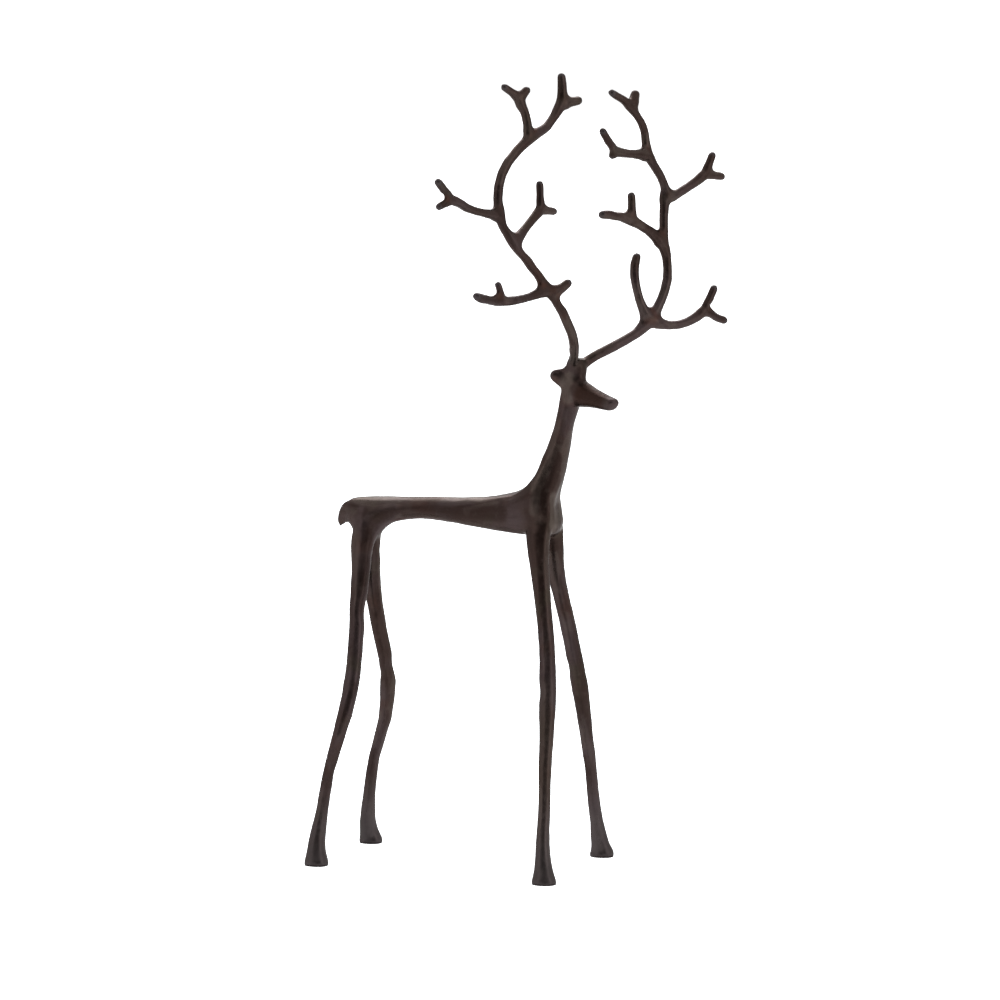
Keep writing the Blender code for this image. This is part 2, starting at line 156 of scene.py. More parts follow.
# Places that were pushed a little after the first modelling. A push fades out over its reach. It goes
# across and up, as seen from the deer's right side, turned this far towards the front.
SIDE_TURN = math.radians(21.5)
Push = namedtuple("Push", "name place reach shift")
PUSHES = (
    Push("near_thigh", (-0.1070, 0.0060, 0.2430), 0.0140, (-0.0013, 0.0)),
    Push("near_thigh_low", (-0.1120, -0.0043, 0.1991), 0.0150, (-0.0013, 0.0)),
    Push("far_thigh", (-0.1095, 0.0230, 0.2460), 0.0150, (-0.0014, 0.0)),
    Push("far_hock", (-0.1160, 0.0440, 0.1480), 0.0300, (0.0010, 0.0)),
    Push("far_hock_front", (-0.1091, 0.0472, 0.1470), 0.0150, (-0.0020, 0.0)),
    Push("far_hock_back", (-0.1192, 0.0465, 0.1416), 0.0090, (0.0010, 0.0)),
    Push("below_the_tail", (-0.1244, 0.0032, 0.2637), 0.0110, (0.0014, 0.0003)),
    Push("withers", (0.0130, 0.0080, 0.2950), 0.0150, (0.0003, -0.0013)),
    Push("back_of_the_neck", (0.0310, 0.0090, 0.3120), 0.0130, (0.0010, -0.0006)),
    Push("chest", (0.0445, 0.0175, 0.2880), 0.0180, (-0.0023, 0.0)),
    Push("far_forearm", (0.0434, 0.0326, 0.2250), 0.0300, (-0.0011, 0.0)),
    Push("far_knee", (0.0431, 0.0418, 0.1552), 0.0110, (0.0011, 0.0)),
    Push("near_knee", (0.0438, -0.0239, 0.1451), 0.0110, (0.0012, 0.0)),
    Push("near_fore_cannon", (0.0505, -0.0434, 0.0587), 0.0300, (0.0008, 0.0)),
    Push("right_root", (0.0573, 0.0020, 0.4005), 0.0100, (0.0014, 0.0)),
    Push("right_root_low", (0.0551, 0.0052, 0.3969), 0.0065, (0.0012, -0.0003)),
    Push("right_short_fork", (0.0632, -0.0252, 0.4428), 0.0070, (-0.0010, -0.0006)),
    Push("right_short_prong", (0.0624, -0.0266, 0.4481), 0.0090, (-0.0020, 0.0)),
    Push("right_low_beam", (0.0473, -0.0444, 0.4649), 0.0110, (0.0011, 0.0007)),
    Push("right_low_tine", (0.0335, -0.0907, 0.4572), 0.0070, (0.0013, 0.0)),
    Push("right_low_tip", (0.0269, -0.1130, 0.4529), 0.0080, (0.0008, 0.0009)),
    Push("right_beam", (0.0396, -0.0561, 0.4813), 0.0300, (0.0009, 0.0007)),
    Push("right_inner_root", (0.0432, -0.0537, 0.4874), 0.0100, (-0.0014, -0.0008)),
    Push("right_outer_root", (0.0335, -0.0640, 0.5080), 0.0110, (-0.0013, -0.0006)),
    Push("right_outer_tine", (0.0151, -0.1139, 0.5222), 0.0120, (0.0003, 0.0012)),
    Push("right_outer_fork", (0.0056, -0.1281, 0.5287), 0.0055, (0.0022, 0.0)),
    Push("right_crown_fork", (0.0414, -0.0306, 0.5805), 0.0070, (-0.0006, -0.0015)),
    Push("right_top_fork", (0.0310, -0.0370, 0.5975), 0.0110, (-0.0013, -0.0007)),
    Push("right_top_prong", (0.0608, 0.0022, 0.5968), 0.0080, (-0.0007, 0.0012)),
    Push("left_low_fork", (0.0990, 0.0532, 0.4262), 0.0100, (-0.0022, -0.0008)),
    Push("left_low_prong", (0.1440, 0.1080, 0.4310), 0.0100, (-0.0008, -0.0011)),
    Push("left_low_prong_fork", (0.1400, 0.1010, 0.4370), 0.0065, (-0.0024, 0.0004)),
    Push("left_upright_tine", (0.0945, 0.0540, 0.4700), 0.0240, (-0.0011, 0.0)),
    Push("left_inner_tine", (0.0835, 0.0409, 0.5119), 0.0070, (0.0, -0.0012)),
    Push("left_upper_fork", (0.1041, 0.0721, 0.4970), 0.0110, (-0.0008, 0.0013)),
    Push("left_outer_root", (0.1035, 0.0861, 0.5243), 0.0080, (-0.0015, 0.0)),
    Push("left_outer_fork", (0.1105, 0.0948, 0.5303), 0.0110, (0.0, -0.0012)),
    Push("left_inner_fork", (0.0789, 0.0310, 0.5608), 0.0080, (0.0014, 0.0)),
    Push("left_beam_swell", (0.0914, 0.0686, 0.5899), 0.0090, (-0.0010, 0.0004)),
    Push("left_top_fork", (0.0835, 0.0600, 0.5995), 0.0120, (0.0011, -0.0006)),
    Push("left_top_prong", (0.0818, 0.0530, 0.5965), 0.0090, (0.0006, 0.0008)),
)

# Painted shade, below 0, and painted light, above 0, laid on the colour where shade and light fall on the
# bronze: dark stripes in creases, in hollows and below the lit top of the back, and light bands on the
# shoulder, cheek, ear, chest, back, near foreleg and hind hoof. Each follows a path.
Touch = namedtuple("Touch", "name path reach amount both_sides")
PAINTED_SHADING_PATHS = (
    Touch("crease_of_the_neck", ((0.0459, 0.0054, 0.3301), (0.0443, 0.0047, 0.3147),
                                 (0.0428, 0.0038, 0.3030)), 0.0018, -0.6, True),
    Touch("shoulder", ((0.0370, 0.0030, 0.3140), (0.0328, -0.0014, 0.2985), (0.0307, -0.0032, 0.2830)),
          0.0028, 0.45, True),
    Touch("edge_of_the_shoulder", ((0.0392, 0.0002, 0.2972), (0.0402, -0.0008, 0.2862),
                                   (0.0399, -0.0018, 0.2762), (0.0385, -0.0058, 0.2611),
                                   (0.0392, -0.0070, 0.2479), (0.0402, -0.0100, 0.2246)),
          0.0021, -0.65, True),
    Touch("hollow_of_the_hip", ((-0.0917, 0.0045, 0.2769), (-0.1065, 0.0033, 0.2685),
                                (-0.1106, 0.0023, 0.2462), (-0.1130, -0.0013, 0.2224)),
          0.0035, -0.7, True),
    Touch("flank", ((-0.0800, 0.0050, 0.2782), (0.0016, -0.0007, 0.2799)), 0.0045, -0.8, True),
    Touch("root_of_the_left_antler", ((0.0646, 0.0102, 0.3969), (0.0657, 0.0109, 0.3899),
                                      (0.0681, 0.0074, 0.3827)), 0.0030, -0.60, False),
    Touch("cheek_and_crown", ((0.0549, 0.0061, 0.3709), (0.0517, 0.0072, 0.3782),
                              (0.0559, 0.0069, 0.3862)), 0.0035, 0.65, False),
    Touch("ear", ((0.0465, 0.0056, 0.3866),), 0.0035, 0.2, False),
    Touch("near_foreleg", ((0.0480, -0.0330, 0.1500), (0.0520, -0.0450, 0.0500),
                           (0.0572, -0.0495, 0.0050)), 0.0080, 0.45, False),
    Touch("near_hind_hoof", ((-0.1382, -0.0395, 0.0300), (-0.1382, -0.0395, 0.0050)), 0.0100, 0.35, False),
    Touch("chest", ((0.0440, 0.0059, 0.2914), (0.0446, 0.0055, 0.2712)), 0.0040, 0.8, True),
    Touch("top_of_the_back", ((-0.1164, 0.0149, 0.2880), (-0.0200, 0.0149, 0.2900)), 0.0075, 0.5, False),
)

# What the mesh keeps at each point for the patina, and for the painted light and shade
KEPT_MARKS = ("streak", "tone", "curve", "face", "touch")

# The patina's noises: how many to the metre, and how detailed
NOISES = {"broad": (16.0, 3.0), "warm": (34.0, 4.0), "mottle": (260.0, 5.0), "grain": (1500.0, 2.0)}

# The curve from which the surface counts as a tip, and the curve below which it counts as a web
TIP_CURVE = 400.0
WEB_CURVE = 190.0

# The hooves' grey, partly a painted highlight, ends at the first height, and the antlers' begins over the
# ramp above the second
HOOF_TOP = 0.080
ANTLERS_FROM = 0.400
ANTLERS_RAMP = 0.015

# The patina's layers, from the first to the last: the mark that each follows, where it starts and is full,
# how strong it then is, its colour, and the height it needs, where it needs one
Layer = namedtuple("Layer", "mark start full strength colour above", defaults=(None,))
LAYERS = (
    Layer("broad", 0.40, 0.62, 1.00, "plum"),
    Layer("warm", 0.54, 0.72, 0.50, "russet"),
    Layer("warm", 0.46, 0.30, 0.50, "olive"),
    Layer("tone", 0.0, -0.9, 0.60, "hollow"),
    Layer("tone", 0.1, 0.9, 0.30, "worn"),
    Layer("curve", WEB_CURVE, 0.0, 0.65, "russet", ANTLERS_FROM),
    # Painted shade, then painted light, along the paths of the table above
    Layer("touch", 0.0, -1.0, 0.75, "hollow"),
    Layer("touch", 0.0, 1.0, 0.70, "worn"),
    Layer("streak", 0.2, -0.9, 0.22, "hollow"),
    Layer("mottle", 0.50, 0.75, 0.12, "worn"),
    # The grey of the tips and of the hooves is partly their own colour and partly a painted highlight of the
    # top light
    Layer("curve", TIP_CURVE, 1.5 * TIP_CURVE, 0.70, "cool"),
    Layer("height", HOOF_TOP, 0.0, 0.70, "cool"),
    Layer("face", 0.0, 1.0, 0.80, "muzzle"),
)

# Over this range of the mottle the sheen goes from this much smoother to this much rougher
MOTTLE_RANGE = (0.35, 0.70)
SMOOTHER = 0.04
ROUGHER = 0.06

# How much rougher the darkest flats are, and the face
TONE_SHEEN = 0.03
FACE_SHEEN = 0.12

# The fine grain of the cast skin
GRAIN_STRENGTH = 0.25
GRAIN_DEPTH = 0.00010

# How far the dark patina lets the metal through, and the tint of its sheen
METALLIC = 0.85
EDGE_TINT = (0.55, 0.53, 0.52, 1.0)

# The floor is a wide disc with this many sides, in a pale and matt grey
FLOOR_RADIUS = 40.0
FLOOR_SIDES = 96
FLOOR_GREY = 0.92
FLOOR_ROUGHNESS = 0.9

WHITE = (1.0, 1.0, 1.0)

# The width of the camera's sensor, in millimetres
SENSOR_WIDTH = 36.0

# The dark side of the surround: how far it is turned from the camera, how far it is full, and where it ends
DARK_TURN = math.radians(10)
DARK_CORE = math.radians(26)
DARK_RIM = math.radians(54)

# The lights: how far each is turned round from the camera and raised, in degrees, then its distance, width
# and height, its power in watts and its colour
Softbox = namedtuple("Softbox", "name turn rise distance width height power colour")
SOFTBOXES = (
    Softbox("top_light", 180, 50, 2.6, 2.6, 1.8, 96.0, (0.88, 0.95, 1.0)),
    Softbox("left_light", -50, 14, 2.4, 0.7, 2.2, 4.2, WHITE),
    Softbox("right_light", 54, 14, 2.4, 1.0, 2.2, 6.5, WHITE),
)


class CastingSettings(bpy.types.PropertyGroup):
    """How fine the casting's mesh is and how deep the marks in it are."""

    spacing: bpy.props.FloatProperty(
        name="Mesh spacing",
        description="Distance between neighbouring points of the mesh",
        default=0.00117, min=0.0008, max=0.004, precision=5, unit="LENGTH",
    )
    relax_rounds: bpy.props.IntProperty(
        name="Relaxing rounds",
        description="How often the fine mesh is smoothed, without shrinking it",
        default=14, min=0, max=60,
    )
    web_radius: bpy.props.FloatProperty(
        name="Web radius",
        description="Radius of the fleshy webs in the forks of the antlers and round the head",
        default=0.0036, min=0.0, max=0.008, precision=4, unit="LENGTH",
    )
    web_from: bpy.props.FloatProperty(
        name="Web from",
        description="Height above the floor from which the forks are webbed",
        default=0.365, min=0.0, max=1.0, unit="LENGTH",
    )
    web_swell: bpy.props.FloatProperty(
        name="Web swell",
        description="How much thicker the webbed limbs are left, to make up for the smoothing",
        default=0.00048, min=0.0, max=0.002, precision=5, unit="LENGTH",
    )
    swell: bpy.props.FloatProperty(
        name="Swell",
        description="How much thicker the whole casting is left, to make up for the smoothing",
        default=0.00012, min=0.0, max=0.002, precision=5, unit="LENGTH",
    )
    corner_rounds: bpy.props.IntProperty(
        name="Corner rounds",
        description="How often the inner corners are filled a little",
        default=24, min=0, max=120,
    )
    plane_length: bpy.props.FloatProperty(
        name="Plane length",
        description="Length of one long flat that the modelling tool left",
        default=0.030, min=0.005, max=0.06, unit="LENGTH",
    )
    plane_width: bpy.props.FloatProperty(
        name="Plane width",
        description="Distance from one such flat to the next across a limb",
        default=0.0060, min=0.002, max=0.02, unit="LENGTH",
    )
    plane_depth: bpy.props.FloatProperty(
        name="Plane depth",
        description="How deep the middle of a flat cuts into the round form",
        default=0.00022, min=0.0, max=0.001, precision=5, unit="LENGTH",
    )
    lump_size: bpy.props.FloatProperty(
        name="Lump size",
        description="Distance from one soft lump of the hand-made form to the next",
        default=0.016, min=0.004, max=0.1, unit="LENGTH",
    )
    lump_height: bpy.props.FloatProperty(
        name="Lump height",
        description="How far the soft lumps stand out",
        default=0.00025, min=0.0, max=0.002, precision=5, unit="LENGTH",
    )
    streak_depth: bpy.props.FloatProperty(
        name="Streak depth",
        description="Depth of the fine scraped streaks that run along each limb",
        default=0.00001, min=0.0, max=0.0005, precision=5, unit="LENGTH",
    )


class PatinaSettings(bpy.types.PropertyGroup):
    """The colours and the sheen of the patina."""

    umber: bpy.props.FloatVectorProperty(
        name="Umber", description="The patina's main dark brown",
        default=(0.034, 0.0208, 0.0175), subtype="COLOR", min=0.0, max=1.0,
    )
    plum: bpy.props.FloatVectorProperty(
        name="Plum", description="The cooler brown of the broad flanks",
        default=(0.045, 0.0310, 0.0310), subtype="COLOR", min=0.0, max=1.0,
    )
    russet: bpy.props.FloatVectorProperty(
        name="Russet", description="The warm red-brown patches, and the webs of the antlers",
        default=(0.045, 0.0200, 0.0138), subtype="COLOR", min=0.0, max=1.0,
    )
    olive: bpy.props.FloatVectorProperty(
        name="Olive", description="The faint green-brown patches",
        default=(0.037, 0.0300, 0.0205), subtype="COLOR", min=0.0, max=1.0,
    )
    # The darkest brown: the patina of the darker flats and of the streaks, and also the painted shade along
    # the darkened paths
    hollow: bpy.props.FloatVectorProperty(
        name="Hollow", description="The darkest brown, in hollows and low places",
        default=(0.0180, 0.0095, 0.0075), subtype="COLOR", min=0.0, max=1.0,
    )
    # A lighter grey-brown: partly the metal's own colour on the hooves and tips, partly a painted highlight
    # of the top light
    cool: bpy.props.FloatVectorProperty(
        name="Cool", description="The cooler grey-brown of the hooves and of the tines' tips",
        default=(0.0460, 0.0395, 0.0405), subtype="COLOR", min=0.0, max=1.0,
    )
    muzzle: bpy.props.FloatVectorProperty(
        name="Muzzle", description="The dark red-brown of the face",
        default=(0.0205, 0.0082, 0.0048), subtype="COLOR", min=0.0, max=1.0,
    )
    # The lighter rubbed metal of the lighter flats and of the mottle, and also the painted light along the
    # lightened paths
    worn: bpy.props.FloatVectorProperty(
        name="Worn bronze", description="The lighter metal where ridges and tips are rubbed",
        default=(0.084, 0.066, 0.056), subtype="COLOR", min=0.0, max=1.0,
    )
    roughness: bpy.props.FloatProperty(
        name="Roughness", description="How soft the sheen is on the plain flanks",
        default=0.34, min=0.0, max=1.0,
    )


class StudioSettings(bpy.types.PropertyGroup):
    """Where the camera stands and how bright the studio is."""

    azimuth: bpy.props.FloatProperty(
        name="Azimuth", description="How far round the camera stands from the deer's right side",
        default=math.radians(21.5), subtype="ANGLE",
    )
    elevation: bpy.props.FloatProperty(
        name="Elevation", description="How far the camera looks down",
        default=math.radians(5.8), subtype="ANGLE",
    )
    distance: bpy.props.FloatProperty(
        name="Distance", description="From the aim point to the camera",
        default=3.555, min=0.5, unit="LENGTH",
    )
    lens: bpy.props.FloatProperty(
        name="Lens", description="Focal length on a 36 mm sensor, in millimetres",
        default=162.0, min=20.0, max=300.0,
    )
    aim: bpy.props.FloatVectorProperty(
        name="Aim point", description="The point in the middle of the picture",
        default=(-0.01984, 0.05391, 0.28434), subtype="TRANSLATION", precision=4,
    )
    surround: bpy.props.FloatProperty(
        name="Surround", description="Brightness of the white surround that lights the bronze",
        default=1.15, min=0.0, max=10.0,
    )
    front: bpy.props.FloatProperty(
        name="Front", description="Brightness of the dark side of the surround, where the camera stands",
        default=0.12, min=0.0, max=10.0,
    )
    backdrop: bpy.props.FloatProperty(
        name="Backdrop", description="Brightness of the white that the camera itself sees",
        default=1.1, min=0.0, max=10.0,
    )


class Skin:
    """The points of a closed mesh, and the pairs of points that its edges join."""

    def __init__(self, mesh):
        self.mesh = mesh
        self.points = read(mesh.vertices, "co", 3)
        pairs = read(mesh.edges, "vertices", 2, np.int32)
        self.here = np.concatenate((pairs[:, 0], pairs[:, 1]))
        self.there = np.concatenate((pairs[:, 1], pairs[:, 0]))
        self.count = len(self.points)

    def gather(self, values):
        """Return the sum, at each point, of one value for each edge end."""
        return np.bincount(self.here, weights=values, minlength=self.count)

    def average(self, values, weights=None):
        """Return the mean of the neighbours' values at each point, by weight where weights are given."""
        if weights is None:
            weights = np.ones(len(self.here))
        total = self.gather(weights)
        columns = values.reshape(self.count, -1).T
        means = [self.gather(weights * column[self.there]) / total for column in columns]
        return np.stack(means, axis=1).reshape(values.shape)

    def softened(self, values, rounds):
        """Return values spread to their neighbours."""
        for _ in range(rounds):
            values = 0.5 * values + 0.5 * self.average(values)
        return values

    def normals(self):
        """Return the outward direction at each point."""
        self.store()
        return read(self.mesh.vertices, "normal", 3)

    def store(self):
        """Write the points back to the mesh."""
        self.mesh.vertices.foreach_set("co", self.points.astype(np.float32).ravel())
        self.mesh.update()


def read(items, name, width, kind=np.float32):
    """Return one property of many mesh items as an array of rows."""
    values = np.empty(len(items) * width, kind)
    items.foreach_get(name, values)
    return values.reshape(-1, width).astype(float if kind is np.float32 else int)


def smooth_step(share):
    """Return a share from 0 to 1 with a soft start and a soft end."""
    return share * share * (3 - 2 * share)


def welded_copy(node, name):
    """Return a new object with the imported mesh, its doubled points made one."""
    mesh = bpy.data.meshes.new(name)
    form = bmesh.new()
    form.from_mesh(node.data)
    bmesh.ops.remove_doubles(form, verts=form.verts, dist=WELD)
    form.to_mesh(mesh)
    form.free()
    piece = bpy.data.objects.new(name, mesh)
    bpy.context.scene.collection.objects.link(piece)
    return piece


def refine(piece, spacing):
    """Replace the piece's mesh by a fine, even one of the same shape."""
    remesh = piece.modifiers.new("Fine mesh", "REMESH")
    remesh.mode = "VOXEL"
    remesh.voxel_size = spacing
    seen = piece.evaluated_get(bpy.context.evaluated_depsgraph_get())
    fine = bpy.data.meshes.new_from_object(seen)
    piece.modifiers.clear()
    piece.data = fine
    fine.name = piece.name


def web_reach(skin, settings):
    """Return how far the webs reach at each point: nothing below the head, and the full radius above."""
    rise = np.clip((skin.points[:, 2] - settings.web_from) / WEB_RAMP, 0, 1)
    return settings.web_radius * smooth_step(rise)


def web(piece, settings):
    """Fill the forks into webs: the antlers are swollen until the forks close, and thinned again."""
    plain = piece.data.copy()
    skin = Skin(piece.data)
    skin.points += web_reach(skin, settings)[:, None] * skin.normals()
    skin.store()
    refine(piece, settings.spacing)
    skin = Skin(piece.data)
    normals = skin.softened(skin.normals(), WEB_ROUNDS)
    normals /= np.linalg.norm(normals, axis=1)[:, None]
    back = web_reach(skin, settings) - settings.web_swell
    skin.points -= back[:, None] * normals
    skin.store()
    both = bmesh.new()
    both.from_mesh(piece.data)
    both.from_mesh(plain)
    both.to_mesh(piece.data)
    both.free()
    refine(piece, settings.spacing)


def kept_crisp(skin):
    """Return 1 on the casting and close to 0 beside the floor, where the hooves keep their edges."""
    rise = np.clip((skin.points[:, 2] - SOLE_FADE) / SOLE_FADE, SOLE_SHARE, 1)
    return rise[:, None]


def relax(skin, rounds):
    """Smooth the surface without shrinking it, by steps in and out."""
    share = kept_crisp(skin)
    for _ in range(rounds):
        for amount in (RELAX_IN, RELAX_OUT):
            skin.points += amount * share * (skin.average(skin.points) - skin.points)


def fill_corners(skin, rounds):
    """Move only the points of inner corners outwards, so that the corners fill a little."""
    for _ in range(rounds):
        normals = skin.normals()
        outward = np.sum((skin.average(skin.points) - skin.points) * normals, axis=1)
        skin.points += CORNER_STEP * np.maximum(outward, 0)[:, None] * normals


def ease(skin):
    """Draw the places where parts of the body meet into smooth saddles."""
    for place in EASED:
        away = np.linalg.norm(skin.points - np.array(place.middle), axis=1)
        amount = EASE_STEP * np.clip(2 - 2 * away / place.reach, 0, 1)[:, None]
        for _ in range(place.rounds):
            skin.points += amount * (skin.average(skin.points) - skin.points)


def nudge(skin):
    """Push the places that were moved a little after the first modelling."""
    before = skin.points.copy()
    for push in PUSHES:
        away = np.linalg.norm(before - np.array(push.place), axis=1) / push.reach
        across, up = push.shift
        move = np.array((across * math.cos(SIDE_TURN), across * math.sin(SIDE_TURN), up))
        skin.points += smooth_step(np.clip(1 - away, 0, 1))[:, None] * move


def limb_directions(skin):
    """Return at each point the direction along its limb, the one that the normals round it avoid."""
    normals = skin.normals()
    spread = skin.softened(normals[:, :, None] * normals[:, None, :], AXIS_ROUNDS)
    return np.linalg.eigh(spread)[1][:, :, 0]


def roundness(skin, normals):
    """Return how strongly the surface curves outwards at each point, both ways added, in 1 / metre."""
    drop = np.sum((skin.points - skin.average(skin.points)) * normals, axis=1)
    edge = skin.points[skin.there] - skin.points[skin.here]
    mean_square = skin.gather(np.sum(edge * edge, axis=1)) / skin.gather(np.ones(len(edge)))
    return skin.softened(CURVES_PER_DROP * drop / mean_square, CURVE_ROUNDS)


def near_flats(skin, middles):
    """Return the numbers of the flats whose middles are nearest to each point."""
    tree = kdtree.KDTree(len(middles))
    for index, middle in enumerate(middles):
        tree.insert(skin.points[middle], index)
    tree.balance()
    return np.array([[found[1] for found in tree.find_n(point, PLANES_NEAR)] for point in skin.points])


def planes(skin, normals, directions, settings, random):
    """Return how deep the tool's long flats cut in at each point, and the tone of the flat there."""
    wanted = int(skin.count * settings.spacing ** 2 / (settings.plane_length * settings.plane_width))
    middles = random.choice(skin.count, wanted, replace=False)
    shades = random.uniform(-1, 1, wanted)
    near = near_flats(skin, middles)
    chosen = middles[near]
    offset = skin.points[:, None, :] - skin.points[chosen]
    lengthwise = np.sum(offset * directions[chosen], axis=2)
    crosswise = np.maximum(np.sum(offset * offset, axis=2) - lengthwise ** 2, 0)
    run = lengthwise / (settings.plane_length / 2)
    turned = np.sum(normals[:, None, :] * normals[chosen], axis=2) < SAME_SIDE
    curve = np.clip(roundness(skin, normals), 1 / FLATTEST, 1 / TIGHTEST)
    depth = settings.plane_depth * (1 - run ** 2) - curve[:, None] * crosswise / 2
    depth = np.where(turned, -1, depth)
    best = depth.argmax(axis=1)
    return np.maximum(depth.max(axis=1), 0), shades[near[np.arange(skin.count), best]]


def lumps(skin, size):
    """Return a soft uneven height at each point, about -1 to 1."""
    return np.array([noise.fractal(Vector(point) / size, LUMP_FADE, LUMP_STEP, LUMP_LAYERS)
                     for point in skin.points])


def streaks(skin, directions, random):
    """Return random values drawn out into fine streaks along the limbs, from -1 to 1."""
    edge = skin.points[skin.there] - skin.points[skin.here]
    edge /= np.linalg.norm(edge, axis=1)[:, None]
    weights = np.sum(edge * directions[skin.here], axis=1) ** STREAK_SHARPNESS + STREAK_SIDEWAYS
    values = random.standard_normal(skin.count)
    for _ in range(STREAK_ROUNDS):
        values = (1 - STREAK_PULL) * values + STREAK_PULL * skin.average(values, weights)
    return np.clip(values / (STREAK_FULL * values.std()), -1, 1)


def near_path(skin, path, reach):
    """Return 1 within the reach of a path of places and 0 at twice the reach from it."""
    places = [np.array(place) for place in path]
    nearest = np.full(skin.count, np.inf)
    for start, end in zip(places, places[1:] or places):
        way = end - start
        share = np.clip((skin.points - start) @ way / max(way @ way, TINY), 0, 1)
        away = np.linalg.norm(skin.points - start - share[:, None] * way, axis=1)
        nearest = np.minimum(nearest, away)
    return np.clip(2 - nearest / reach, 0, 1)


def painted_light_and_shade(skin):
    """Return the painted shade at each point, below 0, and the painted light, above 0."""
    total = np.zeros(skin.count)
    for touch in PAINTED_SHADING_PATHS:
        total += touch.amount * near_path(skin, touch.path, touch.reach)
        if touch.both_sides:
            mirrored = [(x, 2 * MIDDLE - y, z) for x, y, z in touch.path]
            total += touch.amount * near_path(skin, mirrored, touch.reach)
    return np.clip(total, -1, 1)


def calmed(skin, tone):
    """Return the flats' tones, almost even on the head."""
    return tone * (1 - HEAD_CALM * near_path(skin, HEAD, HEAD_REACH))


def swollen(skin, settings):
    """Return how much thicker the casting is left at each point, the left antler most."""
    beside = np.clip((skin.points[:, 1] - LEFT_FROM) / WEB_RAMP, 0, 1)
    above = skin.points[:, 2] > settings.web_from
    return settings.swell + LEFT_SWELL * (beside * above)


def keep_soles(skin):
    """Press the soles flat on the floor."""
    skin.points[:, 2] = np.where(skin.points[:, 2] < SOLE_DEPTH, 0, skin.points[:, 2])


def record(mesh, name, values):
    """Keep one value for each point of the mesh, for the patina to read."""
    layer = mesh.attributes.new(name, "FLOAT", "POINT")
    layer.data.foreach_set("value", values.astype(np.float32))


def work_surface(mesh, settings):
    """Shape the fine mesh as the modeller's hand left it, and keep its marks."""
    random = np.random.default_rng(SEED)
    skin = Skin(mesh)
    relax(skin, settings.relax_rounds)
    fill_corners(skin, settings.corner_rounds)
    ease(skin)
    nudge(skin)
    directions = limb_directions(skin)
    normals = skin.normals()
    cut, tone = planes(skin, normals, directions, settings, random)
    cut = skin.softened(cut, CUT_ROUNDS)
    lumpy = lumps(skin, settings.lump_size)
    streaky = streaks(skin, directions, random)
    fade = np.clip(skin.points[:, 2] / SOLE_FADE, 0, 1)
    height = (settings.lump_height * lumpy + settings.streak_depth * streaky
              + skin.softened(cut, LEVEL_ROUNDS) - cut + swollen(skin, settings))
    skin.points += (height * fade)[:, None] * normals
    keep_soles(skin)
    skin.store()
    tone = calmed(skin, skin.softened(tone, TONE_ROUNDS))
    curve = roundness(skin, skin.normals())
    face = near_path(skin, FACE, FACE_REACH)
    for name, values in zip(KEPT_MARKS, (streaky, tone, curve, face, painted_light_and_shade(skin))):
        record(mesh, name, values)
    mesh.shade_smooth()


def add(tree, kind, **settings):
    """Add one shader node and set its own settings."""
    node = tree.nodes.new(kind)
    for name, value in settings.items():
        setattr(node, name, value)
    return node


def noise_field(tree, place, scale, detail):
    """Return the height of a soft noise over the object's own space."""
    field = add(tree, "ShaderNodeTexNoise")
    field.inputs["Scale"].default_value = scale
    field.inputs["Detail"].default_value = detail
    tree.links.new(place, field.inputs["Vector"])
    return field.outputs["Fac"]


def between(tree, value, low, high, to_low=0.0, to_high=1.0):
    """Return a value moved smoothly from one range to another."""
    ranged = add(tree, "ShaderNodeMapRange", interpolation_type="SMOOTHSTEP")
    tree.links.new(value, ranged.inputs["Value"])
    for name, number in (("From Min", low), ("From Max", high), ("To Min", to_low), ("To Max", to_high)):
        ranged.inputs[name].default_value = number
    return ranged.outputs["Result"]


def blended(tree, amount, first, second):
    """Return a mix of two colours, each a plain colour or another node's output."""
    mix = add(tree, "ShaderNodeMix", data_type="RGBA")
    tree.links.new(amount, mix.inputs["Factor"])
    for socket, colour in ((mix.inputs["A"], first), (mix.inputs["B"], second)):
        if isinstance(colour, bpy.types.NodeSocket):
            tree.links.new(colour, socket)
        else:
            socket.default_value = (*colour, 1.0)
    return mix.outputs["Result"]


def combined(tree, operation, *values):
    """Return several values added or multiplied together."""
    total = values[0]
    for value in values[1:]:
        step = add(tree, "ShaderNodeMath", operation=operation)
        tree.links.new(total, step.inputs[0])
        tree.links.new(value, step.inputs[1])
        total = step.outputs[0]
    return total


def patina_marks(tree):
    """Return what the patina follows, by name: the mesh's marks, the noises and the height."""
    place = add(tree, "ShaderNodeTexCoord").outputs["Object"]
    apart = add(tree, "ShaderNodeSeparateXYZ")
    tree.links.new(place, apart.inputs[0])
    marks = {"height": apart.outputs["Z"]}
    for name in KEPT_MARKS:
        marks[name] = add(tree, "ShaderNodeAttribute", attribute_name=name).outputs["Fac"]
    for name, (scale, detail) in NOISES.items():
        marks[name] = noise_field(tree, place, scale, detail)
    return marks


def patina_colour(tree, marks, settings):
    """Return the patina's colour: umber under all the layers, painted light and shade among them."""
    colour = tuple(settings.umber)
    for layer in LAYERS:
        amount = between(tree, marks[layer.mark], layer.start, layer.full, 0.0, layer.strength)
        if layer.above is not None:
            risen = between(tree, marks["height"], layer.above, layer.above + ANTLERS_RAMP)
            amount = combined(tree, "MULTIPLY", amount, risen)
        colour = blended(tree, amount, colour, tuple(getattr(settings, layer.colour)))
    return colour


def patina_roughness(tree, marks, settings):
    """Return how soft the sheen is: duller in dark flats and on the face."""
    smoothest = settings.roughness - SMOOTHER
    roughest = settings.roughness + ROUGHER
    return combined(tree, "ADD",
                    between(tree, marks["mottle"], *MOTTLE_RANGE, smoothest, roughest),
                    between(tree, marks["tone"], -1.0, 1.0, TONE_SHEEN, -TONE_SHEEN),
                    between(tree, marks["face"], 0.0, 1.0, 0.0, FACE_SHEEN))


